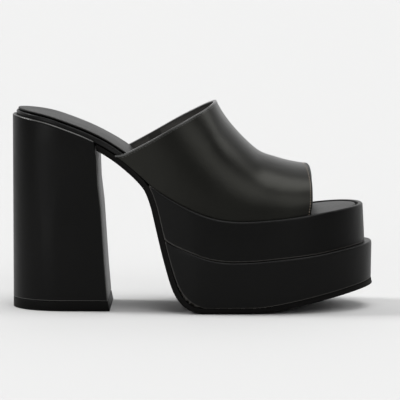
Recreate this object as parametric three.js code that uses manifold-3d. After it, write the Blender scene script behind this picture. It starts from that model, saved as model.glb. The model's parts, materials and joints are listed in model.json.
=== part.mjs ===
// Platform mule sandal for a right foot, size 37: open toe, double platform, tall block heel.
// Millimetres. +X points to the toe, -Y to the outer side of the foot and +Z up from the floor.
// Every outline grows from one last: its side line, its plan and its centre line are below.

import * as THREE from 'three';
import { mergeVertices } from 'three/addons/utils/BufferGeometryUtils.js';
import Module from 'manifold-3d';

const wasm = await Module();
wasm.setup();

// Driving dimensions of the last
const lastLength = 222.2;
const seatHeight = 132.5;
const ballHeight = 61;
const toeSpring = 15.4;
const ballWidth = 75.4;
const seatWidth = 55;
const toeSwing = 4;
const heelRound = 31.5;
const toeRound = 54;

// Driving dimensions of the pieces
const gap = 0.3;
const sockThick = 1.5;
const sockInset = 1.2;
const boardThick = 4;
const soleThick = 3.7;
const wall = 2;
const rimWidth = 3.2;
const rimRound = 1.4;
const lowerHeight = 34;
const tierSlant = 1.2;
const tierStep = 2.9;
const tierToeStep = 1.8;
const tierTuck = 3.4;
const soleInset = 1.4;
const soleToeLip = 0.7;
const heelLedge = 2.4;
const heelLip = 1.2;
const heelTipThick = 6.3;
const breastTop = 54.4;
const breastBase = 64.7;
const toplineStart = 68.4;
const toplinePeak = 134.6;
const vampPeak = 136;
const vampFront = 196.6;
const vampLean = 4;
const flatStart = 127;
const flatEnd = 160;

// Sizes worked out from them
const seatBack = heelLedge;
const lastTip = seatBack + lastLength;
const heelRise = seatHeight - ballHeight;
const bedThick = sockThick + gap + boardThick;
const vampGrow = gap + wall;
const slotGrow = vampGrow + gap;

// The last's side line: height of the sock's top, heel to toe. Each row lifts the ball's height
// by a share of the heel's rise and a share of the toe spring.
const lastLine = [
  { at: -0.011, rise: 1.0, spring: 0 },
  { at: 0.091, rise: 0.943, spring: 0 },
  { at: 0.179, rise: 0.853, spring: 0 },
  { at: 0.241, rise: 0.772, spring: 0 },
  { at: 0.297, rise: 0.676, spring: 0 },
  { at: 0.339, rise: 0.587, spring: 0 },
  { at: 0.394, rise: 0.441, spring: 0 },
  { at: 0.426, rise: 0.35, spring: 0 },
  { at: 0.471, rise: 0.232, spring: 0 },
  { at: 0.516, rise: 0.141, spring: 0 },
  { at: 0.574, rise: 0.061, spring: 0 },
  { at: 0.628, rise: 0.018, spring: 0 },
  { at: 0.687, rise: 0, spring: 0 },
  { at: 0.759, rise: 0, spring: 0.04 },
  { at: 0.84, rise: 0, spring: 0.158 },
  { at: 0.912, rise: 0, spring: 0.29 },
  { at: 0.961, rise: 0, spring: 0.382 },
  { at: 1.06, rise: 0, spring: 0.517 },
];

// The last's plan: half width as a share of the way from the seat's to the ball's, and the
// centre line's swing to the inner side as a share of the toe's.
const lastPlan = [
  { at: -0.011, toBall: 0, swing: 0 },
  { at: 0.18, toBall: 0, swing: -0.08 },
  { at: 0.25, toBall: -0.05, swing: -0.2 },
  { at: 0.295, toBall: 0.08, swing: -0.28 },
  { at: 0.35, toBall: 0.29, swing: -0.3 },
  { at: 0.417, toBall: 0.56, swing: -0.27 },
  { at: 0.484, toBall: 0.79, swing: -0.2 },
  { at: 0.552, toBall: 0.95, swing: -0.1 },
  { at: 0.62, toBall: 1, swing: 0 },
  { at: 0.85, toBall: 1, swing: 0.45 },
  { at: 1, toBall: 1, swing: 0.92 },
  { at: 1.06, toBall: 1, swing: 1 },
];

// Rim of the lower tier, lifted from its height at the ball as the last's line is.
const lowerRim = [
  { at: 0.4, rise: 0.25, spring: 0 },
  { at: 0.443, rise: 0.201, spring: 0 },
  { at: 0.461, rise: 0.161, spring: 0 },
  { at: 0.521, rise: 0.0825, spring: 0 },
  { at: 0.58, rise: 0.021, spring: 0 },
  { at: 0.64, rise: 0, spring: 0 },
  { at: 0.7, rise: 0, spring: 0.02 },
  { at: 0.759, rise: 0, spring: 0.098 },
  { at: 0.839, rise: 0, spring: 0.216 },
  { at: 0.898, rise: 0, spring: 0.314 },
  { at: 0.989, rise: 0, spring: 0.53 },
  { at: 1.06, rise: 0, spring: 0.646 },
];

// Rim of the upper tier: height above the foot bed's underside, a share of the bed's thickness,
// and the rim's width, a share of its width at the ball.
const upperRim = [
  { at: 0.38, lift: -0.06, width: 0.4 },
  { at: 0.394, lift: -0.05, width: 0.43 },
  { at: 0.426, lift: 0.2, width: 0.55 },
  { at: 0.49, lift: 0.58, width: 0.8 },
  { at: 0.55, lift: 0.67, width: 1 },
  { at: 0.61, lift: 0.73, width: 1 },
  { at: 0.687, lift: 0.88, width: 1 },
  { at: 0.759, lift: 0.97, width: 1 },
  { at: 0.84, lift: 1.01, width: 1 },
  { at: 0.912, lift: 1.07, width: 1 },
  { at: 1.06, lift: 1.05, width: 1 },
];

// Underside of the outsole down the platform's back: length as a share of the last's, height as
// a share of the height at which it leaves the arch.
const platformBack = [
  { at: 0.3826, height: 0.923 },
  { at: 0.4006, height: 0.809 },
  { at: 0.4154, height: 0.655 },
  { at: 0.4302, height: 0.494 },
  { at: 0.4451, height: 0.348 },
  { at: 0.4554, height: 0.2555 },
];

// The heel's front face, from its base to its top.
const breastLine = [
  { at: 0, back: 0 },
  { at: 0.055, back: 0.126 },
  { at: 0.64, back: 0.563 },
  { at: 0.754, back: 0.718 },
  { at: 0.914, back: 0.796 },
  { at: 1, back: 1 },
];

// Ridge of the vamp over the instep: height above the sock, a share of its height at the peak.
// The first rows are the last's cone, above the topline.
const ridgeLine = [
  { at: 0.25, height: 2.5 },
  { at: 0.36, height: 1.98 },
  { at: 0.45, height: 1.54 },
  { at: 0.52, height: 1.22 },
  { at: 0.571, height: 1.06 },
  { at: 0.595, height: 0.972 },
  { at: 0.609, height: 0.9 },
  { at: 0.64, height: 0.79 },
  { at: 0.67, height: 0.699 },
  { at: 0.7, height: 0.614 },
  { at: 0.723, height: 0.557 },
  { at: 0.759, height: 0.515 },
  { at: 0.795, height: 0.472 },
  { at: 0.83, height: 0.437 },
  { at: 0.9, height: 0.384 },
];

// Sag of the topline under the straight line from its start to its peak, a share of its rise.
const toplineSag = [
  { at: -0.1, sag: -0.05 },
  { at: 0, sag: 0 },
  { at: 0.05, sag: 0.045 },
  { at: 0.1, sag: 0.06 },
  { at: 0.147, sag: 0.061 },
  { at: 0.35, sag: 0.05 },
  { at: 0.49, sag: 0.03 },
  { at: 0.64, sag: 0.012 },
  { at: 1, sag: 0 },
  { at: 1.2, sag: 0 },
];

// The toe opening's edge, from the foot bed over the ridge: how far it lies ahead of its base,
// in wall thicknesses.
const openingEdge = [
  { at: 0, ahead: -0.35 },
  { at: 0.17, ahead: 0.25 },
  { at: 0.38, ahead: 0.15 },
  { at: 0.68, ahead: -0.65 },
  { at: 0.86, ahead: -1.5 },
  { at: 1, ahead: -2.4 },
];

// Reading the tables

const mix = (a, b, share) => a + (b - a) * share;
const clamp = (value) => Math.min(1, Math.max(0, value));
const ease = (value) => clamp(value) ** 2 * (3 - 2 * clamp(value));
const along = (x) => (x - seatBack) / lastLength;
const xAt = (share) => seatBack + share * lastLength;

// A column of a table at any place, on a smooth curve that never swings past its rows.
function read(rows, column, at) {
  const next = rows.findIndex((row) => row.at > at);
  const i = next < 0 ? rows.length - 2 : Math.max(0, next - 1);
  const slope = (k) => (rows[k + 1][column] - rows[k][column]) / (rows[k + 1].at - rows[k].at);
  const tangent = (k) => {
    if (k === 0) return slope(0);
    if (k === rows.length - 1) return slope(k - 1);
    const before = slope(k - 1);
    const after = slope(k);
    return before * after <= 0 ? 0 : (2 * before * after) / (before + after);
  };
  const span = rows[i + 1].at - rows[i].at;
  const t = (at - rows[i].at) / span;
  if (t < 0) return rows[i][column] + slope(i) * span * t;
  if (t > 1) return rows[i + 1][column] + slope(i) * span * (t - 1);
  const a = rows[i][column];
  const b = rows[i + 1][column];
  const curve = (2 * t ** 3 - 3 * t ** 2 + 1) * a + (3 * t ** 2 - 2 * t ** 3) * b;
  return curve + span * ((t ** 3 - 2 * t ** 2 + t) * tangent(i) + (t ** 3 - t ** 2) * tangent(i + 1));
}

// The last's surfaces

// Height of a line that is lifted by its table's shares of the heel's rise and the toe spring.
const lifted = (base, table, x) =>
  base + heelRise * read(table, 'rise', along(x)) + toeSpring * read(table, 'spring', along(x));

const lastZ = (x) => lifted(ballHeight, lastLine, x);
const lastSlope = (x) => lastZ(x + 0.5) - lastZ(x - 0.5);
const centreY = (x) => toeSwing * read(lastPlan, 'swing', along(x));

// Height at x of the last's line moved down square to itself.
function below(x, depth) {
  let from = x;
  for (let pass = 0; pass < 8; pass += 1) {
    const slope = lastSlope(from);
    from = x - (slope * depth) / Math.hypot(1, slope);
  }
  return lastZ(from) - depth / Math.hypot(1, lastSlope(from));
}

// Half width of the last's plan grown outwards, with more growth ahead of the toe. The heel ends
// in a half ellipse, the toe in a slightly fuller curve.
const toePower = 2.15;

function halfWidth(x, grow, toeMore = 0) {
  const toBall = read(lastPlan, 'toBall', along(x));
  const width = mix(seatWidth, ballWidth, toBall) / 2 + grow;
  const heelLength = heelRound + grow;
  const toeLength = toeRound + grow + toeMore;
  const behind = clamp((seatBack - grow + heelLength - x) / heelLength);
  const ahead = clamp((x - lastTip - grow - toeMore + toeLength) / toeLength);
  return width * Math.sqrt(1 - behind ** 2) * (1 - ahead ** toePower) ** (1 / toePower);
}

// Lengthwise stations, close together where the plan turns round the heel and the toe.
function heelStations(grow, count) {
  const length = heelRound + grow;
  const turn = (k) => 1 - Math.cos((k / count) * (Math.PI / 2));
  return Array.from({ length: count }, (_, k) => seatBack - grow + length * turn(k));
}

function toeStations(grow, toeMore, count) {
  const length = toeRound + grow + toeMore;
  const start = lastTip - toeRound;
  const turn = (k) => Math.sin((k / count) * (Math.PI / 2));
  return Array.from({ length: count + 1 }, (_, k) => start + length * turn(k));
}

const evenStations = (from, to, count) =>
  Array.from({ length: count }, (_, k) => mix(from, to, k / count));

// Making solids

// One level of a piece: its outer side from heel to toe, then its inner side back again.
function level(stations, half, height, centre = centreY) {
  const side = (sign) => stations.map((x) => [x, centre(x) + sign * half(x), height(x)]);
  return [...side(-1), ...side(1).reverse()];
}

// A closed solid through rings of equally many points, counter-clockwise about the way they go.
function loft(rings) {
  const count = rings[0].length;
  const points = rings.flat(2);
  const faces = [];
  const quad = (a, b, c, d) => faces.push(a, b, c, a, c, d);
  for (let k = 0; k + 1 < rings.length; k += 1) {
    const low = k * count;
    for (let i = 0; i < count; i += 1) {
      const next = (i + 1) % count;
      quad(low + i, low + next, low + count + next, low + count + i);
    }
  }
  const top = (rings.length - 1) * count;
  for (let i = 0; i + 1 < count / 2; i += 1) {
    const across = count - 1 - i;
    quad(across, across - 1, i + 1, i);
    quad(top + i, top + i + 1, top + across - 1, top + across);
  }
  return closed(points, faces);
}

// Shared corners merged, and faces that have shrunk to a line left out.
function closed(points, faces) {
  const geometry = new THREE.BufferGeometry();
  geometry.setAttribute('position', new THREE.Float32BufferAttribute(points, 3));
  geometry.setIndex(faces);
  const merged = mergeVertices(geometry, 0.001);
  const index = merged.index.array;
  const kept = [];
  for (let i = 0; i < index.length; i += 3) {
    const [a, b, c] = [index[i], index[i + 1], index[i + 2]];
    if (a !== b && b !== c && c !== a) kept.push(a, b, c);
  }
  merged.setIndex(kept);
  merged.computeVertexNormals();
  return merged;
}

function toSolid(geometry) {
  const vertProperties = new Float32Array(geometry.attributes.position.array);
  const triVerts = new Uint32Array(geometry.index.array);
  return new wasm.Manifold(new wasm.Mesh({ numProp: 3, vertProperties, triVerts }));
}

function cut(geometry, cutter) {
  const mesh = toSolid(geometry).subtract(toSolid(cutter)).getMesh();
  const result = new THREE.BufferGeometry();
  result.setAttribute('position', new THREE.BufferAttribute(new Float32Array(mesh.vertProperties), 3));
  result.setIndex(new THREE.BufferAttribute(new Uint32Array(mesh.triVerts), 1));
  result.computeVertexNormals();
  return result;
}

// The middle of a rounded edge lies this share of its radius in from both of its faces.
const cornerShare = 0.3;

// Levels that round a rim over: how far each lies in from the side and down from the crest.
const roundOver = (radius) => [0, 1, 2, 3].map((k) => {
  const turn = (k / 3) * (Math.PI / 2);
  return { inwards: radius * (1 - Math.cos(turn)), down: radius * (1 - Math.sin(turn)) };
});

// Outsole: one strip from the heel's front face, under the arch, down the platform's back,
// round to the floor and up to the toe.

const breastX = (z) =>
  mix(breastBase, breastTop, read(breastLine, 'back', z / below(breastTop, bedThick)));

// The strip's line, as points with the direction square to it that goes into the shoe.
function solePath() {
  const archPlaces = [0.255, 0.285, 0.32, 0.355, 0.385];
  // Reach of the curves' handles: down the back, back along the floor, and round the toe spring.
  const backReach = 0.62;
  const floorReach = 0.56;
  const springStart = 0.16;
  const springEnd = { along: 0.71, up: 0.69 };
  const depth = bedThick + gap + soleThick;
  const arch = archPlaces.map((place) => {
    const slope = lastSlope(xAt(place));
    const square = depth / Math.hypot(1, slope);
    return new THREE.Vector3(xAt(place) + slope * square, 0, lastZ(xAt(place)) - square);
  });
  const back = platformBack.map((row) => new THREE.Vector3(xAt(row.at), 0, row.height * arch.at(-1).z));
  const tip = xTip(soleGrow(lastTip), soleToeMore);
  const spline = new THREE.CatmullRomCurve3([...arch, ...back], false, 'centripetal');
  const corner = back.at(-1);
  const down = spline.getTangent(1).multiplyScalar(corner.z * backReach);
  const point = (x, z) => new THREE.Vector3(x, 0, z);
  const curves = [
    { curve: spline, steps: 26 },
    {
      curve: new THREE.CubicBezierCurve3(
        corner, corner.clone().add(down),
        point(mix(flatStart, corner.x, floorReach), 0), point(flatStart, 0)),
      steps: 9,
    },
    { curve: new THREE.LineCurve3(point(flatStart, 0), point(flatEnd, 0)), steps: 4 },
    {
      curve: new THREE.CubicBezierCurve3(
        point(flatEnd, 0), point(mix(flatEnd, tip, springStart), 0),
        point(mix(flatEnd, tip, springEnd.along), toeSpring * springEnd.up), point(tip, toeSpring)),
      steps: 22,
    },
  ];
  return curves.flatMap(({ curve, steps }, which) => {
    const lastCurve = which === curves.length - 1;
    return Array.from({ length: steps + (lastCurve ? 1 : 0) }, (_, k) => {
      const t = lastCurve ? Math.sin((k / steps) * (Math.PI / 2)) : k / steps;
      const { x, z } = curve.getPoint(t);
      const way = curve.getTangent(t);
      return { x, z, nx: -way.z, nz: way.x };
    });
  });
}

// Growth of each level's plan from the last's, by place along the shoe. The tiers' steps start
// from nothing at the arch and have their full size at the ball.
const fadeIn = (x, from, to) => ease((along(x) - from) / (to - from));
const atBall = (x) => fadeIn(x, 0.44, 0.62);
const pastArch = (x) => fadeIn(x, 0.27, 0.44);
const xTip = (grow, toeMore) => lastTip + grow + toeMore;
const upperRimGrow = (x) => slotGrow + rimWidth * read(upperRim, 'width', along(x));
const upperBaseGrow = (x) => upperRimGrow(x) + tierSlant;
const lowerRimGrow = (x) => upperBaseGrow(x) + tierStep * atBall(x);
const lowerBaseGrow = (x) => lowerRimGrow(x) - tierTuck * atBall(x);
const soleGrow = (x) => mix(gap, lowerBaseGrow(x) - soleInset * atBall(x), pastArch(x));
const baseToeMore = tierToeStep + tierTuck - soleToeLip / 2;
const soleToeMore = baseToeMore + soleInset + soleToeLip;

const soleBend = solePath();
const soleLine = (rise) => soleBend.map(({ x, z, nx, nz }) => ({ x: x + nx * rise, z: z + nz * rise }));

// Height of a line of points at x. Every line here goes forwards all the way.
function heightOn(line, x) {
  const i = Math.min(line.length - 2, Math.max(0, line.findIndex((point) => point.x > x) - 1));
  const from = x >= line.at(-1).x ? line.length - 2 : i;
  const t = (x - line[from].x) / (line[from + 1].x - line[from].x);
  return mix(line[from].z, line[from + 1].z, t);
}

function outsole() {
  const inner = soleLine(soleThick);
  const bevel = { inwards: 0.5, up: 0.3 };
  const start = breastX(soleBend[0].z) + gap;
  const rings = soleBend.map((outer, k) => {
    const top = k === 0 ? { x: start, z: heightOn(inner, start) } : inner[k];
    const low = k === 0 ? { x: start, z: heightOn(soleBend, start) } : outer;
    const middle = { x: mix(low.x, top.x, bevel.up), z: mix(low.z, top.z, bevel.up) };
    const at = (point, sign, less) => {
      const half = Math.max(0, halfWidth(point.x, soleGrow(point.x), soleToeMore) - less);
      return [point.x, centreY(point.x) + sign * half, point.z];
    };
    return [
      at(top, 1, 0), at(top, -1, 0), at(middle, -1, 0),
      at(low, -1, bevel.inwards), at(low, 1, bevel.inwards), at(middle, 1, 0),
    ];
  });
  return loft(rings);
}

// Platform: two tiers. Each is a block between two lines, with the platform's back behind it.

const bed = soleLine(soleThick + gap);
const lowerRimZ = (x) => lifted(lowerHeight, lowerRim, x);
const upperRimZ = (x) => below(x, bedThick) + bedThick * read(upperRim, 'lift', along(x));

// The place where a rim's line meets the platform's back, looked for along the back's length.
function meetsBack(height) {
  const backLength = { from: 0.36, to: 0.5 };
  let low = xAt(backLength.from);
  let high = xAt(backLength.to);
  for (let pass = 0; pass < 40; pass += 1) {
    const middle = (low + high) / 2;
    if (heightOn(bed, middle) > height(middle)) low = middle;
    else high = middle;
  }
  return high;
}

// Points evenly spaced along the platform's back between two places.
function backCurve(fromX, toX, count) {
  const [first, last] = [Math.min(fromX, toX), Math.max(fromX, toX)];
  const inside = bed.filter((point) => point.x > first && point.x < last);
  const ends = [first, last].map((x) => ({ x, z: heightOn(bed, x) }));
  const line = [ends[0], ...inside, ends[1]];
  if (fromX > toX) line.reverse();
  const curve = new THREE.CurvePath();
  for (let i = 0; i + 1 < line.length; i += 1) {
    const a = new THREE.Vector2(line[i].x, line[i].z);
    const b = new THREE.Vector2(line[i + 1].x, line[i + 1].z);
    if (a.distanceTo(b) > 0.01) curve.add(new THREE.LineCurve(a, b));
  }
  return Array.from({ length: count + 1 }, (_, k) => curve.getPoint(k / count));
}

function tierStations({ start, grow, toeMore }) {
  const toe = toeStations(grow(lastTip), toeMore, 16);
  return [...evenStations(start, toe[0], 14), ...toe];
}

// Rings of a tier. base and rim each give a start, a growth, a toe growth and a height by x. The
// back's bend fades out of the sides between the two places.
const bendFade = { from: 0.46, to: 0.75 };

function tier(base, rim, levels) {
  const low = tierStations(base);
  const back = backCurve(base.start, rim.start, levels);
  const [foot, head] = [back[0], back.at(-1)];
  const high = tierStations(rim);
  const rings = back.map((corner, k) => {
    const t = k / levels;
    const bulgeX = corner.x - mix(foot.x, head.x, t);
    const bulgeZ = corner.y - mix(foot.y, head.y, t);
    const ring = low.map((x, i) => {
      const fade = 1 - fadeIn(mix(x, high[i], t), bendFade.from, bendFade.to);
      const px = mix(x, high[i], t) + bulgeX * fade;
      const pz = mix(base.height(x), rim.height(high[i]) - rimRound, t) + bulgeZ * fade;
      const half = mix(
        halfWidth(px, base.grow(px), base.toeMore),
        halfWidth(px, rim.grow(px), rim.toeMore), t);
      return { x: px, z: pz, half: i === low.length - 1 ? 0 : half };
    });
    return [
      ...ring.map(({ x, z, half }) => [x, centreY(x) - half, z]),
      ...ring.map(({ x, z, half }) => [x, centreY(x) + half, z]).reverse(),
    ];
  });
  for (const { inwards, down } of roundOver(rimRound).slice(1)) {
    const grow = (x) => rim.grow(x) - inwards;
    const inner = tierStations({ ...rim, grow });
    rings.push(level(inner, (x) => halfWidth(x, grow(x), rim.toeMore), (x) => rim.height(x) - down));
  }
  return rings;
}

const lowerBack = meetsBack((x) => lowerRimZ(x) - rimRound);
const lowerBaseZ = (x) => heightOn(bed, x);
const lowerBase = { start: flatStart, grow: lowerBaseGrow, toeMore: baseToeMore, height: lowerBaseZ };
const lowerTop = { start: lowerBack, grow: lowerRimGrow, toeMore: tierToeStep, height: lowerRimZ };
const platformLower = () => loft(tier(lowerBase, lowerTop, 10));

const upperBaseZ = (x) => lowerRimZ(x) + gap;
const upperBase = { start: meetsBack(upperBaseZ), grow: upperBaseGrow, toeMore: 0, height: upperBaseZ };
const upperBack = meetsBack((x) => upperRimZ(x) - rimRound);
const upperTop = { start: upperBack, grow: upperRimGrow, toeMore: 0, height: upperRimZ };

// The upper tier's rim turns down again into a slot for the foot bed and the upper's lower edge.
function slotRings() {
  const floor = (x) => below(x, bedThick + gap);
  const edge = rimRound / 2;
  const start = upperTop.start + rimRound;
  const ring = (outwards, height) => {
    const grow = () => slotGrow + outwards;
    const stations = tierStations({ start: start - outwards, grow, toeMore: 0 });
    return level(stations, (x) => halfWidth(x, grow()), height);
  };
  return [
    ring(edge, upperRimZ),
    ring(edge * cornerShare, (x) => Math.max(floor(x), upperRimZ(x) - edge * cornerShare)),
    ring(0, (x) => Math.max(floor(x), upperRimZ(x) - edge)),
    ring(0, floor),
  ];
}

const platformUpper = () => loft([...tier(upperBase, upperTop, 6), ...slotRings()]);

// Foot bed and sock: plates that follow the last, wider ahead of the upper than under it.

const bedStep = { ahead: 1, length: 8 };
const bedGrow = (x) => vampGrow * ease((x - vampFront - bedStep.ahead) / bedStep.length);

function plate(grow, levels) {
  const rings = levels.map(({ inwards, depth }) => {
    const grown = (x) => grow(x) - inwards;
    const toe = toeStations(grown(lastTip), 0, 14);
    const heel = heelStations(grown(seatBack), 10);
    const stations = [...heel, ...evenStations(seatBack + heelRound, toe[0], 20), ...toe];
    return level(stations, (x) => halfWidth(x, grown(x)), (x) => below(x, depth));
  });
  return loft(rings);
}

function footbed() {
  const edge = 1;
  return plate(bedGrow, [
    { inwards: edge * 0.5, depth: bedThick },
    { inwards: 0, depth: bedThick - edge * 0.5 },
    { inwards: 0, depth: sockThick + gap + edge },
    { inwards: edge * cornerShare, depth: sockThick + gap + edge * cornerShare },
    { inwards: edge, depth: sockThick + gap },
  ]);
}

function sock() {
  const edge = sockThick * 0.5;
  return plate((x) => bedGrow(x) - sockInset, [
    { inwards: 0, depth: sockThick },
    { inwards: 0, depth: edge },
    { inwards: edge * cornerShare, depth: edge * cornerShare },
    { inwards: edge, depth: 0 },
  ]);
}

// Heel: a block with a round back and a flat front, its top dished for the foot bed, and the hard
// top piece under it.

function heelRing(height, inwards) {
  const grow = heelLedge - inwards;
  const heel = heelStations(grow, 12);
  const straight = seatBack + heelRound;
  const front = breastX(height(breastTop));
  const stations = [...heel, ...evenStations(straight, front, 3), front];
  const sides = (x) => halfWidth(Math.min(x, straight), grow);
  return level(stations, sides, height, () => centreY(straight));
}

function heelBlock() {
  const low = heelTipThick + gap;
  const crest = (x) => below(x, bedThick) + heelLip;
  const heights = [0, 0.2, 0.4, 0.6, 0.75, 0.88].map((t) => (x) => mix(low, crest(x) - rimRound, t));
  const walls = heights.map((height) => heelRing(height, 0));
  const rim = roundOver(rimRound).map(({ inwards, down }) => heelRing((x) => crest(x) - down, inwards));
  const heel = heelStations(gap, 12);
  const past = { front: 10, top: 20 };
  const stations = [...heel, ...evenStations(seatBack + heelRound, breastBase + past.front, 8)];
  const half = (x) => halfWidth(x, gap);
  const floor = (x) => below(x, bedThick + gap);
  const dish = loft([level(stations, half, floor), level(stations, half, (x) => floor(x) + past.top)]);
  return cut(loft([...walls, ...rim]), dish);
}

const heelTip = () => loft([heelRing(() => 0, 0), heelRing(() => heelTipThick, 0)]);

// Upper: one leather wall over the instep. Its cross sections stand straight beside the foot bed
// and close in an arch over the foot. The topline, the toe opening and the underside are open.

const toplineZ = (x) => {
  const t = (x - toplineStart) / (toplinePeak - toplineStart);
  const start = below(toplineStart, bedThick);
  return mix(start, vampPeak, t) - (vampPeak - start) * read(toplineSag, 'sag', t);
};

// The arch is a superellipse, a little fuller than a half ellipse, and leans to the inner side.
const archFullness = 2 / 2.25;

function upperPoint(x, row) {
  const floor = below(x, bedThick);
  const seat = lastZ(x);
  const peakHeight = vampPeak - lastZ(toplinePeak);
  const arch = peakHeight * read(ridgeLine, 'height', along(x));
  const half = halfWidth(x, vampGrow);
  const rise = Math.sin(row.turn) ** archFullness;
  const out = Math.sign(Math.cos(row.turn)) * Math.abs(Math.cos(row.turn)) ** archFullness;
  const lean = vampLean * Math.sin(row.turn) ** 3;
  const y = centreY(x) - half * out + lean;
  const z = row.foot < 1 ? mix(floor, seat, row.foot) : seat + arch * rise;
  return new THREE.Vector3(x, y, z);
}

// Rows across the upper: up the outer side of the foot bed, over the arch and down again.
function upperRows() {
  const feet = [0, 0.35, 0.7];
  const archSteps = 28;
  const turn = (k) => (k / archSteps) * Math.PI;
  return [
    ...feet.map((foot) => ({ foot, turn: 0 })),
    ...Array.from({ length: archSteps + 1 }, (_, k) => ({ foot: 1, turn: turn(k) })),
    ...feet.map((foot) => ({ foot, turn: Math.PI })).reverse(),
  ];
}

// Where a row of the upper starts, at the topline.
function rowStart(row) {
  const reach = 5;
  let low = toplineStart - reach;
  let high = toplinePeak + reach;
  for (let pass = 0; pass < 40; pass += 1) {
    const middle = (low + high) / 2;
    if (upperPoint(middle, row).z > toplineZ(middle)) low = middle;
    else high = middle;
  }
  return (low + high) / 2;
}

// The direction square to the upper's outer face, outwards.
function upperOut(x, row) {
  const step = 0.02;
  const lengthwise = upperPoint(x + 0.5, row).sub(upperPoint(x - 0.5, row));
  const before = { foot: 1, turn: Math.max(0, row.turn - step) };
  const after = { foot: 1, turn: Math.min(Math.PI, row.turn + step) };
  const crosswise = row.foot < 1
    ? new THREE.Vector3(0, 0, row.turn > 1 ? -1 : 1)
    : upperPoint(x, after).sub(upperPoint(x, before));
  return lengthwise.cross(crosswise).normalize();
}

function upper() {
  const rows = upperRows();
  const steps = 15;
  const across = rows.length;
  const grid = rows.map((row) => {
    const start = rowStart(row);
    const over = Math.sin(row.turn) > 0 ? 1 - Math.abs(row.turn / (Math.PI / 2) - 1) : 0;
    const end = vampFront + wall * read(openingEdge, 'ahead', over);
    return Array.from({ length: steps + 1 }, (_, k) => mix(start, end, k / steps));
  });
  const outside = [];
  const inside = [];
  rows.forEach((row, j) => {
    for (const x of grid[j]) {
      const here = upperPoint(x, row);
      outside.push(here);
      inside.push(here.clone().addScaledVector(upperOut(x, row), -wall));
    }
  });
  const points = [...outside, ...inside].flatMap((point) => point.toArray());
  const at = (j, k) => j * (steps + 1) + k;
  const back = outside.length;
  const faces = [];
  const quad = (a, b, c, d) => faces.push(a, b, c, a, c, d);
  for (let j = 0; j + 1 < across; j += 1) {
    for (let k = 0; k < steps; k += 1) {
      quad(at(j, k), at(j, k + 1), at(j + 1, k + 1), at(j + 1, k));
      quad(back + at(j + 1, k), back + at(j + 1, k + 1), back + at(j, k + 1), back + at(j, k));
    }
    quad(at(j + 1, 0), back + at(j + 1, 0), back + at(j, 0), at(j, 0));
    quad(at(j, steps), back + at(j, steps), back + at(j + 1, steps), at(j + 1, steps));
  }
  const far = across - 1;
  for (let k = 0; k < steps; k += 1) {
    quad(at(0, k), back + at(0, k), back + at(0, k + 1), at(0, k + 1));
    quad(at(far, k + 1), back + at(far, k + 1), back + at(far, k), at(far, k));
  }
  return closed(points, faces);
}

// The shoe

const leather = () => new THREE.MeshStandardMaterial({ color: 0x1c1b1a, roughness: 0.42, metalness: 0 });
const lining = () => new THREE.MeshStandardMaterial({ color: 0x242322, roughness: 0.5, metalness: 0 });
const rubber = () => new THREE.MeshStandardMaterial({ color: 0x171616, roughness: 0.7, metalness: 0 });

const pieces = {
  outsole: [outsole(), rubber()],
  platform_lower: [platformLower(), leather()],
  platform_upper: [platformUpper(), leather()],
  heel_block: [heelBlock(), leather()],
  heel_tip: [heelTip(), rubber()],
  footbed: [footbed(), leather()],
  sock: [sock(), lining()],
  upper: [upper(), leather()],
};

const sandal = new THREE.Group();
for (const [name, [geometry, material]] of Object.entries(pieces)) {
  const mesh = new THREE.Mesh(geometry, material);
  mesh.name = name;
  sandal.add(mesh);
}

// The origin is on the floor, under the middle of the shoe.
const middle = new THREE.Box3().setFromObject(sandal).getCenter(new THREE.Vector3());
sandal.position.set(-middle.x, -middle.y, 0);

export default sandal;
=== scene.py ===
import json
import math

import bmesh
import bpy
from mathutils import Matrix, Vector
from mathutils.bvhtree import BVHTree

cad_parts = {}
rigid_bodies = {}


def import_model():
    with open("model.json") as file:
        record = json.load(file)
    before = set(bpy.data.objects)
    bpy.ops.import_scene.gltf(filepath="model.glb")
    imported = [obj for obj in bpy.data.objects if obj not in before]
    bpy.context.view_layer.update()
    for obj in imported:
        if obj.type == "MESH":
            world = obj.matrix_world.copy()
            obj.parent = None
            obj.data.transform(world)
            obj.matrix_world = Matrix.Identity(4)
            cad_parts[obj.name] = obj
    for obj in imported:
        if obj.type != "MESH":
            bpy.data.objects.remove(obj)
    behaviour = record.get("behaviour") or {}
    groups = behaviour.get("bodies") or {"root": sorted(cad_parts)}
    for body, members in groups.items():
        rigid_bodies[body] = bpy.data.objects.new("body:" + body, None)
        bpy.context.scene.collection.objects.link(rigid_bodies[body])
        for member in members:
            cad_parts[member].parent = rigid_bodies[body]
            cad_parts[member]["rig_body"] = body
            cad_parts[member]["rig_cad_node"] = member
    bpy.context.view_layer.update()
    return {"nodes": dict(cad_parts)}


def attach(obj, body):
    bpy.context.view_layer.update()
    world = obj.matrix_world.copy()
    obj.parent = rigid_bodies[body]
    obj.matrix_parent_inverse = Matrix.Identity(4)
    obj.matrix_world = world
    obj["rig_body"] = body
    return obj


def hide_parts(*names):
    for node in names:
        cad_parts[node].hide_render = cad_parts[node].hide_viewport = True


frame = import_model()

# Camera
# A long lens at the height of a low table, almost square to the shoe's outer side. It stands
# a little towards the toe and looks down by six degrees.
CAMERA_AWAY = 2.6
CAMERA_HEIGHT = 0.36
CAMERA_TURN = math.radians(1.1)
LOOK_AT = Vector((0.0048, 0.0, 0.0699))
LENS = 357.4
FILM_WIDE = 36.0
SIGHT_END = 50.0

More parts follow.
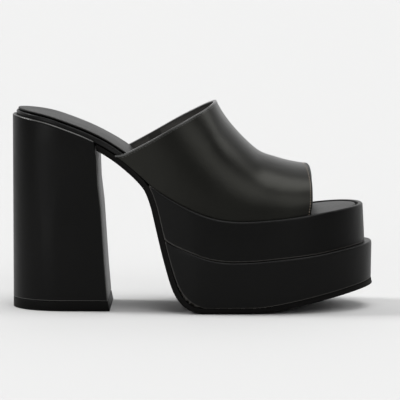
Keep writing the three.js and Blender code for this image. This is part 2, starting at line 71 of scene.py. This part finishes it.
camera_data = bpy.data.cameras.new("studio_camera")
camera_data.lens = LENS
camera_data.sensor_width = FILM_WIDE
camera_data.clip_end = SIGHT_END
camera = bpy.data.objects.new("studio_camera", camera_data)
camera.location = (
    LOOK_AT.x + CAMERA_AWAY * math.sin(CAMERA_TURN),
    -CAMERA_AWAY * math.cos(CAMERA_TURN),
    CAMERA_HEIGHT,
)
camera.rotation_euler = (LOOK_AT - camera.location).to_track_quat("-Z", "Y").to_euler()
bpy.context.scene.collection.objects.link(camera)
bpy.context.scene.camera = camera

# Floor
# Pale seamless studio paper, matt and without a join. It carries the shoe and its soft
# shadow.
PAPER_WIDE = 12.0
PAPER_DROP = 0.0002

bpy.ops.object.select_all(action="DESELECT")
bpy.ops.mesh.primitive_plane_add(size=PAPER_WIDE, location=(0.0, 0.0, -PAPER_DROP))
floor = bpy.context.active_object
floor.name = "studio_floor"
bpy.ops.object.transform_apply(location=True, rotation=True, scale=True)
paper = bpy.data.materials.new("pale_paper")
paper.use_nodes = True
paper_shader = paper.node_tree.nodes["Principled BSDF"]
paper_shader.inputs["Base Color"].default_value = (0.47, 0.47, 0.469, 1.0)
paper_shader.inputs["Roughness"].default_value = 0.9
paper_shader.inputs["Specular IOR Level"].default_value = 0.1
floor.data.materials.append(paper)

# Light
# A room that is pale all round but dark on the camera's side, with a wide soft box overhead.
# One from the heel's side throws the shoe's shadow towards the toe. Three weaker ones, from the
# camera's left and right and from the toe's side, lift the leather there.
WALL_SEEN = 0.81
ROOM_BACK = 1.25
ROOM_FRONT = 0.02
FRONT_ENDS = -0.2
BACK_STARTS = 1.0

bpy.context.scene.view_settings.view_transform = "Standard"
world = bpy.data.worlds.new("studio_room")
bpy.context.scene.world = world
world.use_nodes = True
room_nodes = world.node_tree.nodes
room_links = world.node_tree.links
way = room_nodes.new("ShaderNodeTexCoord")
split = room_nodes.new("ShaderNodeSeparateXYZ")
depth = room_nodes.new("ShaderNodeMapRange")
depth.interpolation_type = "SMOOTHSTEP"
depth.inputs["From Min"].default_value = FRONT_ENDS
depth.inputs["From Max"].default_value = BACK_STARTS
depth.inputs["To Min"].default_value = ROOM_FRONT
depth.inputs["To Max"].default_value = ROOM_BACK
rays = room_nodes.new("ShaderNodeLightPath")
shown = room_nodes.new("ShaderNodeMix")
shown.inputs["B"].default_value = WALL_SEEN
room_links.new(way.outputs["Generated"], split.inputs["Vector"])
room_links.new(split.outputs["Y"], depth.inputs["Value"])
room_links.new(rays.outputs["Is Camera Ray"], shown.inputs["Factor"])
room_links.new(depth.outputs["Result"], shown.inputs["A"])
room_links.new(shown.outputs["Result"], room_nodes["Background"].inputs["Strength"])
room_nodes["Background"].inputs["Color"].default_value = (1.0, 1.0, 1.0, 1.0)


def far_light(name, toward, spread, strength):
    """A soft box so far away that it lights the whole floor evenly."""
    lamp = bpy.data.lights.new(name, "SUN")
    lamp.angle = math.radians(spread)
    lamp.energy = strength
    holder = bpy.data.objects.new(name, lamp)
    holder.rotation_euler = Vector(toward).to_track_quat("-Z", "Y").to_euler()
    bpy.context.scene.collection.objects.link(holder)


far_light("overhead_box", toward=(-0.16, 0.10, -1.0), spread=44, strength=2.2)
far_light("heel_side_box", toward=(1.0, -0.12, -0.9), spread=16, strength=2.4)
far_light("left_front_box", toward=(0.55, 0.80, -0.08), spread=30, strength=0.85)
far_light("right_front_box", toward=(-0.32, 0.78, -0.52), spread=38, strength=1.0)
far_light("toe_side_box", toward=(-0.85, -0.05, -0.62), spread=26, strength=0.7)

# Outsole
# One bent strip of thin black rubber from the heel's face to the toe. Its cut edges are
# buffed smooth and slightly rounded.
MERGE_WITHIN = 0.00001
FLAT_WITHIN = math.radians(50)
ANY_SHAPE = math.radians(180)
TONE_SCALE = 28.0
TONE_DETAIL = 4.0
SWELL_SCALE = 75.0
SWELL_DEEP = 0.0009
PORES_FINER = 2.3
PORE_DEEP = 0.00012
PEBBLE_DEEP = 0.0002
PEBBLE_SHARE = 0.7
FINE_DETAIL = 3.0


def select_only(piece):
    bpy.ops.object.select_all(action="DESELECT")
    piece.select_set(True)
    bpy.context.view_layer.objects.active = piece


def cut_from(node, name):
    """A new piece in the shape of a part of the shoe, with its corners merged and its faces
    made four-sided."""
    piece = frame["nodes"][node].copy()
    piece.data = frame["nodes"][node].data.copy()
    piece.data.materials.clear()
    piece.name = name
    piece.data.name = name
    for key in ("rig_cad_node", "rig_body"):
        if key in piece:
            del piece[key]
    piece.parent = None
    bpy.context.scene.collection.objects.link(piece)
    select_only(piece)
    bpy.ops.object.mode_set(mode="EDIT")
    bpy.ops.mesh.select_all(action="SELECT")
    bpy.ops.mesh.remove_doubles(threshold=MERGE_WITHIN)
    bpy.ops.mesh.tris_convert_to_quads(face_threshold=FLAT_WITHIN, shape_threshold=ANY_SHAPE)
    bpy.ops.object.mode_set(mode="OBJECT")
    return piece


def select_sharp(piece, sharper_than):
    """Open the piece for shaping, with only its sharp edges selected."""
    select_only(piece)
    bpy.ops.object.mode_set(mode="EDIT")
    bpy.ops.mesh.select_all(action="DESELECT")
    bpy.ops.mesh.edges_select_sharp(sharpness=math.radians(sharper_than))


def round_edges(piece, sharper_than, width, segments, material=-1):
    """Bevel the sharp edges. The new faces can have another of the piece's materials."""
    select_sharp(piece, sharper_than)
    bpy.ops.mesh.bevel(
        offset=width, segments=segments, affect="EDGES", clamp_overlap=True, material=material)
    bpy.ops.object.mode_set(mode="OBJECT")


def smooth_out(piece, levels):
    select_only(piece)
    bpy.ops.object.modifier_add(type="SUBSURF")
    piece.modifiers[-1].levels = levels
    piece.modifiers[-1].render_levels = levels
    bpy.ops.object.modifier_apply(modifier=piece.modifiers[-1].name)
    bpy.ops.object.shade_smooth()


def noise(tree, scale, detail):
    texture = tree.nodes.new("ShaderNodeTexNoise")
    texture.inputs["Scale"].default_value = scale
    texture.inputs["Detail"].default_value = detail
    return texture


def raised(tree, height, strength, deep, under=None):
    """One layer of relief, laid over the layer under it."""
    layer = tree.nodes.new("ShaderNodeBump")
    layer.inputs["Strength"].default_value = strength
    layer.inputs["Distance"].default_value = deep
    tree.links.new(height, layer.inputs["Height"])
    if under is not None:
        tree.links.new(under, layer.inputs["Normal"])
    return layer.outputs["Normal"]


def grained(name, colour, worn_colour, roughness, grain, relief, specular):
    """Leather, rubber or thread: pores and a fine pebble over soft swells, slow changes of tone
    towards the worn colour, and a gloss that varies with the tone."""
    material = bpy.data.materials.new(name)
    material.use_nodes = True
    tree = material.node_tree
    shader = tree.nodes["Principled BSDF"]
    shader.inputs["Specular IOR Level"].default_value = specular
    tone = noise(tree, TONE_SCALE, TONE_DETAIL)
    swells = noise(tree, SWELL_SCALE, FINE_DETAIL)
    pores = noise(tree, grain * PORES_FINER, FINE_DETAIL)
    pebble = tree.nodes.new("ShaderNodeTexVoronoi")
    pebble.feature = "SMOOTH_F1"
    pebble.inputs["Scale"].default_value = grain
    place = tree.nodes.new("ShaderNodeTexCoord")
    for texture in (tone, swells, pores, pebble):
        tree.links.new(place.outputs["Object"], texture.inputs["Vector"])
    blend = tree.nodes.new("ShaderNodeMix")
    blend.data_type = "RGBA"
    blend.inputs["A"].default_value = (*colour, 1.0)
    blend.inputs["B"].default_value = (*worn_colour, 1.0)
    tree.links.new(tone.outputs["Fac"], blend.inputs["Factor"])
    tree.links.new(blend.outputs["Result"], shader.inputs["Base Color"])
    gloss = tree.nodes.new("ShaderNodeMapRange")
    gloss.inputs["To Min"].default_value = roughness[0]
    gloss.inputs["To Max"].default_value = roughness[1]
    tree.links.new(tone.outputs["Fac"], gloss.inputs["Value"])
    tree.links.new(gloss.outputs["Result"], shader.inputs["Roughness"])
    soft = raised(tree, swells.outputs["Fac"], relief, SWELL_DEEP)
    coarse = raised(tree, pebble.outputs["Distance"], relief * PEBBLE_SHARE, PEBBLE_DEEP, soft)
    fine = raised(tree, pores.outputs["Fac"], relief, PORE_DEEP, coarse)
    tree.links.new(fine, shader.inputs["Normal"])
    return material


outsole = cut_from("outsole", "outsole_strip")
round_edges(outsole, sharper_than=25, width=0.00025, segments=2)
smooth_out(outsole, levels=1)
sole_rubber = grained(
    "sole_rubber", (0.0012, 0.0011, 0.0010), (0.0030, 0.0027, 0.0024),
    roughness=(0.50, 0.66), grain=1500.0, relief=0.25, specular=0.08)
outsole.data.materials.append(sole_rubber)
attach(outsole, "root")
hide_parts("outsole")

# Lower tier
# A shaped block of light core, wrapped in smooth black leather and glued down on the outsole.
# The wrap's rounded edges, over the rim and down the back's corners, carry a painted highlight.
SOLE_GAP = 0.0003
SOLE_REACH = 0.0035
SQUARE_ON = 0.7
TURNED_TO = -0.3
PAINTED_HIGHLIGHT = 1


def surface_of(piece):
    return BVHTree.FromPolygons(
        [corner.co for corner in piece.data.vertices],
        [tuple(face.vertices) for face in piece.data.polygons])


def lay_on_sole(tier):
    """Where the tier's underside and back face the strip, they lie close along it."""
    strip = surface_of(outsole)
    facings = [corner.normal.copy() for corner in tier.data.vertices]
    for corner, facing in zip(tier.data.vertices, facings):
        place, out, _, gap = strip.find_nearest(corner.co)
        above = (corner.co - place).dot(out)
        near = gap < SOLE_REACH and above > max(SOLE_GAP, SQUARE_ON * gap)
        if near and facing.dot(out) < TURNED_TO:
            corner.co -= out * (above - SOLE_GAP)


platform_leather = grained(
    "platform_leather", (0.0012, 0.0012, 0.0011), (0.0028, 0.0028, 0.0026),
    roughness=(0.34, 0.46), grain=1900.0, relief=0.22, specular=0.11)
# Painted highlight: a much paler, glossier leather on the tiers' rounded edges, standing in for
# the light their crests catch.
rim_highlight_leather = grained(
    "rim_highlight_leather", (0.011, 0.010, 0.0085), (0.022, 0.020, 0.017),
    roughness=(0.32, 0.44), grain=1900.0, relief=0.15, specular=0.3)
lower_tier = cut_from("platform_lower", "lower_tier_wrap")
lower_tier.data.materials.append(platform_leather)
lower_tier.data.materials.append(rim_highlight_leather)
round_edges(lower_tier, sharper_than=45, width=0.0004, segments=2, material=PAINTED_HIGHLIGHT)
smooth_out(lower_tier, levels=2)
lay_on_sole(lower_tier)
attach(lower_tier, "root")
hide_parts("platform_lower")

# Upper tier
# The second wrapped block, set back from the lower one. Its rim stands up round the foot bed
# and turns down into the slot beside it.
upper_tier = cut_from("platform_upper", "upper_tier_wrap")
upper_tier.data.materials.append(platform_leather)
upper_tier.data.materials.append(rim_highlight_leather)
# The upper tier's rounded edges take the same painted highlight.
round_edges(upper_tier, sharper_than=50, width=0.0003, segments=2, material=PAINTED_HIGHLIGHT)
smooth_out(upper_tier, levels=2)
lay_on_sole(upper_tier)
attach(upper_tier, "root")
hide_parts("platform_upper")

# Heel
# A tall block, round behind and flat in front, wrapped in the same leather and dished on top
# for the foot bed. The wrap is drawn tight, and a painted highlight in paler leather lies over
# the lip, the base and the lower part of the front corners.
HEEL_ROUND = 0.0005
HEEL_SHARP = 50
HEEL_SMOOTH = math.radians(35)
FACET_WITHIN = math.radians(1)
HIGHLIGHT_TILT = (0.5, 0.85)
CORNER_TOP = 0.1
UPRIGHT = 0.8

heel = cut_from("heel_block", "heel_wrap")
heel_leather = grained(
    "heel_leather", (0.0012, 0.0012, 0.0011), (0.0028, 0.0028, 0.0026),
    roughness=(0.34, 0.45), grain=1900.0, relief=0.22, specular=0.11)
# Painted highlight: a much paler, glossier leather on the heel's lip, base and front corners,
# standing in for the light these edges catch.
heel_highlight_leather = grained(
    "heel_highlight_leather", (0.026, 0.026, 0.024), (0.044, 0.044, 0.041),
    roughness=(0.32, 0.44), grain=1900.0, relief=0.15, specular=0.5)
heel.data.materials.append(heel_leather)
heel.data.materials.append(heel_highlight_leather)
heel_base = min(corner.co.z for corner in heel.data.vertices)
# Faces that tilt up at the heel's lip take the painted highlight.
for face in heel.data.polygons:
    face.material_index = PAINTED_HIGHLIGHT if HIGHLIGHT_TILT[0] < face.normal.z < HIGHLIGHT_TILT[1] else 0
select_only(heel)
bpy.ops.object.mode_set(mode="EDIT")
bpy.ops.mesh.select_mode(type="EDGE")
bpy.ops.mesh.select_all(action="SELECT")
bpy.ops.mesh.dissolve_limited(angle_limit=FACET_WITHIN)
bpy.ops.object.mode_set(mode="OBJECT")
select_sharp(heel, HEEL_SHARP)
bpy.ops.object.mode_set(mode="OBJECT")
for edge in heel.data.edges:
    ends = [heel.data.vertices[index].co for index in edge.vertices]
    low, high = sorted(ends, key=lambda end: end.z)
    upright = high.z - low.z > UPRIGHT * (high - low).length and high.z < CORNER_TOP
    edge.select = edge.select and (upright or high.z < heel_base + HEEL_ROUND)
bpy.ops.object.mode_set(mode="EDIT")
bpy.ops.mesh.bevel(
    offset=HEEL_ROUND, segments=3, affect="EDGES", clamp_overlap=True, material=PAINTED_HIGHLIGHT)
bpy.ops.object.mode_set(mode="OBJECT")
bpy.ops.object.shade_smooth_by_angle(angle=HEEL_SMOOTH)
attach(heel, "root")
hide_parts("heel_block")

# Heel's top piece
# A flat piece of hard black rubber, pinned under the heel and trimmed flush with it. Its edges
# are eased a little.
top_piece = cut_from("heel_tip", "heel_top_piece")
round_edges(top_piece, sharper_than=40, width=0.0004, segments=2)
select_only(top_piece)
bpy.ops.object.shade_smooth_by_angle(angle=HEEL_SMOOTH)
tip_rubber = grained(
    "tip_rubber", (0.0014, 0.0014, 0.0013), (0.0030, 0.0030, 0.0028),
    roughness=(0.48, 0.62), grain=1200.0, relief=0.3, specular=0.06)
top_piece.data.materials.append(tip_rubber)
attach(top_piece, "root")
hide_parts("heel_tip")

# Foot bed
# The insole board, stiffened along the arch, with its edge wrapped in the upper's leather. It
# lies on the heel and down inside the upper tier's rim, and its side shows along the arch.
foot_bed = cut_from("footbed", "foot_bed_wrap")
round_edges(foot_bed, sharper_than=45, width=0.0003, segments=2)
smooth_out(foot_bed, levels=2)
bed_leather = grained(
    "bed_leather", (0.0012, 0.0012, 0.0011), (0.0028, 0.0028, 0.0026),
    roughness=(0.34, 0.46), grain=1900.0, relief=0.22, specular=0.17)
foot_bed.data.materials.append(bed_leather)
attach(foot_bed, "root")
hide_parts("footbed")

# Sock lining
# Thin soft black leather, glued on top of the foot bed just inside its edge. Its cut edge is
# thinned, so it looks softly rounded.
FACES_DOWN = -0.5
SOCK_SUNK = 0.00033

sock = cut_from("sock", "sock_lining")
for face in sock.data.polygons:
    face.select = face.normal.z < FACES_DOWN
under = {index for face in sock.data.polygons if face.select for index in face.vertices}
for index in under:
    sock.data.vertices[index].co.z -= SOCK_SUNK
select_only(sock)
bpy.ops.object.mode_set(mode="EDIT")
bpy.ops.mesh.region_to_loop()
bpy.ops.transform.edge_crease(value=1.0)
bpy.ops.object.mode_set(mode="OBJECT")
smooth_out(sock, levels=2)
sock_leather = grained(
    "sock_leather", (0.0030, 0.0030, 0.0029), (0.0060, 0.0060, 0.0057),
    roughness=(0.38, 0.52), grain=1300.0, relief=0.3, specular=0.1)
sock.data.materials.append(sock_leather)
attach(sock, "root")
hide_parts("sock")

# Vamp
# The one-piece upper of smooth black leather, closed over the last. A thin dark lining covers
# the inside. The cut edges lie under the folded edging.
OUTER_SPOT = Vector((0.045, -0.06, 0.085))
INNER_SPOT = Vector((0.010, 0.0, 0.100))
EDGE_CORNER = math.radians(50)
SHEET_BEND = math.radians(45)
LINED = 1


def keep_sharp(piece, sharper_than):
    select_sharp(piece, sharper_than)
    bpy.ops.transform.edge_crease(value=1.0)
    bpy.ops.object.mode_set(mode="OBJECT")


def select_sheet(piece, near, away):
    """Select the smooth sheet of faces that is met first on the way from one point to another."""
    first = surface_of(piece).ray_cast(near, (away - near).normalized())[2]
    select_only(piece)
    bpy.ops.object.mode_set(mode="EDIT")
    bpy.ops.mesh.select_mode(type="FACE")
    bpy.ops.mesh.select_all(action="DESELECT")
    bpy.ops.object.mode_set(mode="OBJECT")
    piece.data.polygons[first].select = True
    bpy.ops.object.mode_set(mode="EDIT")
    bpy.ops.mesh.faces_select_linked_flat(sharpness=SHEET_BEND)
    bpy.ops.object.mode_set(mode="OBJECT")


def edge_runs(piece):
    """The selected sheet's edge as runs between its corners. Each point of a run has a place,
    the way out of the sheet and the way along the sheet from its edge."""
    work = bmesh.new()
    work.from_mesh(piece.data)
    beside = {}
    frames = {}
    for edge in work.edges:
        if sum(face.select for face in edge.link_faces) != 1:
            continue
        for corner in edge.verts:
            beside.setdefault(corner.index, []).append(edge.other_vert(corner).index)
            sheet = [face for face in corner.link_faces if face.select]
            out = sum((face.normal for face in sheet), Vector()).normalized()
            middle = sum((face.calc_center_median() for face in sheet), Vector()) / len(sheet)
            frames[corner.index] = (corner.co.copy(), out, middle - corner.co)
    work.free()
    start = min(beside)
    loop = [start, beside[start][0]]
    while True:
        onward = [index for index in beside[loop[-1]] if index != loop[-2]]
        if onward[0] == start:
            break
        loop.append(onward[0])
    count = len(loop)
    place = [frames[index][0] for index in loop]
    corners = [
        k for k in range(count)
        if (place[k] - place[k - 1]).angle(place[(k + 1) % count] - place[k]) > EDGE_CORNER]
    runs = []
    for first, last in zip(corners, corners[1:] + [corners[0] + count]):
        run = []
        for k in range(first, last + 1):
            before = max(k - 1, first)
            after = min(k + 1, last)
            here, out, inwards = frames[loop[k % count]]
            along = (place[after % count] - place[before % count]).normalized()
            down = out.cross(along).normalized()
            if down.dot(inwards) < 0:
                down.negate()
            run.append((here, out, down))
        runs.append(run)
    return runs


vamp_leather = grained(
    "vamp_leather", (0.0014, 0.0014, 0.0012), (0.0032, 0.0032, 0.0028),
    roughness=(0.30, 0.40), grain=1900.0, relief=0.22, specular=0.2)
vamp_shader = vamp_leather.node_tree.nodes["Principled BSDF"]
vamp_shader.inputs["Specular Tint"].default_value = (1.0, 1.0, 0.90, 1.0)
vamp_lining = grained(
    "vamp_lining", (0.045, 0.043, 0.040), (0.075, 0.072, 0.067),
    roughness=(0.75, 0.90), grain=1100.0, relief=0.5, specular=0.2)

vamp = cut_from("upper", "vamp")
keep_sharp(vamp, sharper_than=50)
smooth_out(vamp, levels=2)
select_sheet(vamp, OUTER_SPOT, INNER_SPOT)
outer_runs = edge_runs(vamp)
toe_run = max(outer_runs, key=lambda run: min(point[0].x for point in run))
top_run = max(outer_runs, key=lambda run: max(point[0].z for point in run) * len(run))
vamp.data.materials.append(vamp_leather)
vamp.data.materials.append(vamp_lining)
select_sheet(vamp, INNER_SPOT, OUTER_SPOT)
for face in vamp.data.polygons:
    face.material_index = LINED if face.select else 0
bpy.ops.object.mode_set(mode="EDIT")
bpy.ops.mesh.duplicate()
bpy.ops.mesh.separate(type="SELECTED")
bpy.ops.object.mode_set(mode="OBJECT")
cover = [piece for piece in bpy.context.selected_objects if piece != vamp][0]
cover.name = "lining_cover"
round_edges(vamp, sharper_than=50, width=0.0004, segments=3)
select_only(vamp)
bpy.ops.object.shade_smooth()
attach(vamp, "root")
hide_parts("upper")

# Folded edging
# The leather is skived, folded over the lining along the topline and the toe edge and glued
# down, so both edges are rounded and stand a little proud of the vamp.
VAMP_WALL = 0.002
FOLD_PROUD = 0.00014
FOLD_ROUND = 0.00055
FOLD_STEPS = 4
FOLD_SMOOTH = math.radians(50)
SKIVED_DEEP = 0.0001
SKIVED_IN = 0.0002


def fold_over(name, run, wide, leather):
    """A rounded band that wraps a run of the vamp's edge, inside and outside."""
    half = VAMP_WALL / 2 + FOLD_PROUD
    profile = []
    for centre, first in ((half - FOLD_ROUND, 0), (FOLD_ROUND - half, 90)):
        for step in range(FOLD_STEPS + 1):
            turn = math.radians(first + 90 / FOLD_STEPS * step)
            across = centre + FOLD_ROUND * math.cos(turn)
            deep = FOLD_ROUND - FOLD_PROUD - FOLD_ROUND * math.sin(turn)
            profile.append((across, deep))
    edge_in = half - SKIVED_IN
    edge_up = wide - SKIVED_DEEP
    profile += [(-half, edge_up), (-edge_in, wide), (edge_in, wide), (half, edge_up)]
    work = bmesh.new()
    rings = []
    for here, out, down in run:
        middle = here - out * (VAMP_WALL / 2)
        rings.append([
            work.verts.new(middle + out * across + down * deep) for across, deep in profile])
    count = len(profile)
    for low, high in zip(rings, rings[1:]):
        for index in range(count):
            after = (index + 1) % count
            work.faces.new((low[index], low[after], high[after], high[index]))
    work.faces.new(rings[0])
    work.faces.new(rings[-1])
    bmesh.ops.recalc_face_normals(work, faces=work.faces)
    band = bpy.data.objects.new(name, bpy.data.meshes.new(name))
    work.to_mesh(band.data)
    work.free()
    bpy.context.scene.collection.objects.link(band)
    band.data.materials.append(leather)
    select_only(band)
    bpy.ops.object.shade_smooth_by_angle(angle=FOLD_SMOOTH)
    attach(band, "root")


# Painted highlight: the topline's edging is a much paler, glossier leather, standing in for the
# light that catches the fold.
topline_highlight_leather = grained(
    "topline_highlight_leather", (0.012, 0.012, 0.011), (0.022, 0.022, 0.020),
    roughness=(0.30, 0.42), grain=1900.0, relief=0.15, specular=0.6)
fold_over("topline_edging", top_run, wide=0.0011, leather=topline_highlight_leather)
fold_over("toe_edging", toe_run, wide=0.0009, leather=vamp_leather)

# Stitches
# One row of thread just below each folded edge: black along the topline, about five stitches to
# the centimetre, and brown and finer along the toe edge. The same thread shows on the lining.
STITCH_WIDE = 0.0004
STITCH_FLAT = 0.7
ENDS_BARE = 2
THREAD_FUZZ = 0.3


def one_stitch(thread, long):
    """A loop of thread pulled tight: a long grain that lies half in the leather."""
    bpy.ops.object.select_all(action="DESELECT")
    bpy.ops.mesh.primitive_uv_sphere_add(segments=8, ring_count=6, radius=0.5)
    grain = bpy.context.active_object
    grain.data.materials.append(thread)
    bpy.ops.object.mode_set(mode="EDIT")
    bpy.ops.mesh.select_all(action="SELECT")
    bpy.ops.transform.resize(value=(STITCH_WIDE * STITCH_FLAT, STITCH_WIDE, long))
    bpy.ops.object.mode_set(mode="OBJECT")
    bpy.ops.object.shade_smooth()
    return grain


def sew(name, run, thread, inset, long, pitch):
    """Stitches in a row at one distance from a run of the edge, on the outside and the inside."""
    surface = surface_of(vamp)
    pattern = one_stitch(thread, long)
    stitches = []
    for sunk in (0.0, VAMP_WALL):
        line = [here + down * inset - out * sunk for here, out, down in run]
        lengths = [(b - a).length for a, b in zip(line, line[1:])]
        count = int(sum(lengths) / pitch)
        for k in range(ENDS_BARE, count - ENDS_BARE):
            way = (k + 0.5) * sum(lengths) / count
            step = 0
            while step < len(lengths) - 1 and way > lengths[step]:
                way -= lengths[step]
                step += 1
            middle = line[step].lerp(line[step + 1], way / lengths[step])
            place, out, _, _ = surface.find_nearest(middle)
            ahead = line[step + 1] - line[step]
            ahead = (ahead - out * ahead.dot(out)).normalized()
            stitch = pattern.copy()
            stitch.data = pattern.data.copy()
            stitch.matrix_world = Matrix((out, ahead.cross(out), ahead)).transposed().to_4x4()
            stitch.matrix_world.translation = place
            bpy.context.scene.collection.objects.link(stitch)
            stitches.append(stitch)
    bpy.data.objects.remove(pattern)
    bpy.ops.object.select_all(action="DESELECT")
    for stitch in stitches:
        stitch.select_set(True)
    bpy.context.view_layer.objects.active = stitches[0]
    bpy.ops.object.join()
    bpy.ops.object.transform_apply(location=True, rotation=True, scale=True)
    seam = bpy.context.active_object
    seam.name = name
    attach(seam, "root")


black_thread = grained(
    "black_thread", (0.010, 0.010, 0.009), (0.020, 0.020, 0.018),
    roughness=(0.45, 0.60), grain=2500.0, relief=0.3, specular=0.5)
brown_thread = grained(
    "brown_thread", (0.20, 0.15, 0.11), (0.28, 0.21, 0.16),
    roughness=(0.50, 0.65), grain=2500.0, relief=0.3, specular=0.5)
for thread in (black_thread, brown_thread):
    thread_shader = thread.node_tree.nodes["Principled BSDF"]
    thread_shader.inputs["Sheen Weight"].default_value = THREAD_FUZZ
sew("topline_stitches", top_run, black_thread, inset=0.0017, long=0.0015, pitch=0.0021)
sew("toe_edge_stitches", toe_run, brown_thread, inset=0.0013, long=0.0009, pitch=0.0017)

# Lining cover
# On both sides a strip of the lining is laid double where its two halves meet, from the foot
# bed up to the topline, and its edges show as two fine steps.
COVER_BACK = -0.0285
COVER_FRONT = -0.0200
COVER_HEIGHT = 0.105
COVER_LEAN = 0.25
COVER_PROUD = 0.00035
COVER_SMOOTH = math.radians(40)

select_only(cover)
bpy.ops.object.mode_set(mode="EDIT")
bpy.ops.mesh.select_all(action="SELECT")
bpy.ops.mesh.bisect(
    plane_co=(COVER_BACK, 0.0, COVER_HEIGHT), plane_no=(1.0, 0.0, COVER_LEAN), clear_inner=True)
bpy.ops.mesh.select_all(action="SELECT")
bpy.ops.mesh.bisect(
    plane_co=(COVER_FRONT, 0.0, COVER_HEIGHT), plane_no=(1.0, 0.0, COVER_LEAN), clear_outer=True)
bpy.ops.object.mode_set(mode="OBJECT")
bpy.ops.object.modifier_add(type="SOLIDIFY")
cover.modifiers[-1].thickness = COVER_PROUD * 2
cover.modifiers[-1].offset = 0.0
bpy.ops.object.modifier_apply(modifier=cover.modifiers[-1].name)
cover_tape = grained(
    "cover_tape", (0.016, 0.015, 0.014), (0.028, 0.027, 0.025),
    roughness=(0.60, 0.75), grain=1100.0, relief=0.4, specular=0.3)
cover.data.materials.clear()
cover.data.materials.append(cover_tape)
bpy.ops.object.shade_smooth_by_angle(angle=COVER_SMOOTH)
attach(cover, "root")
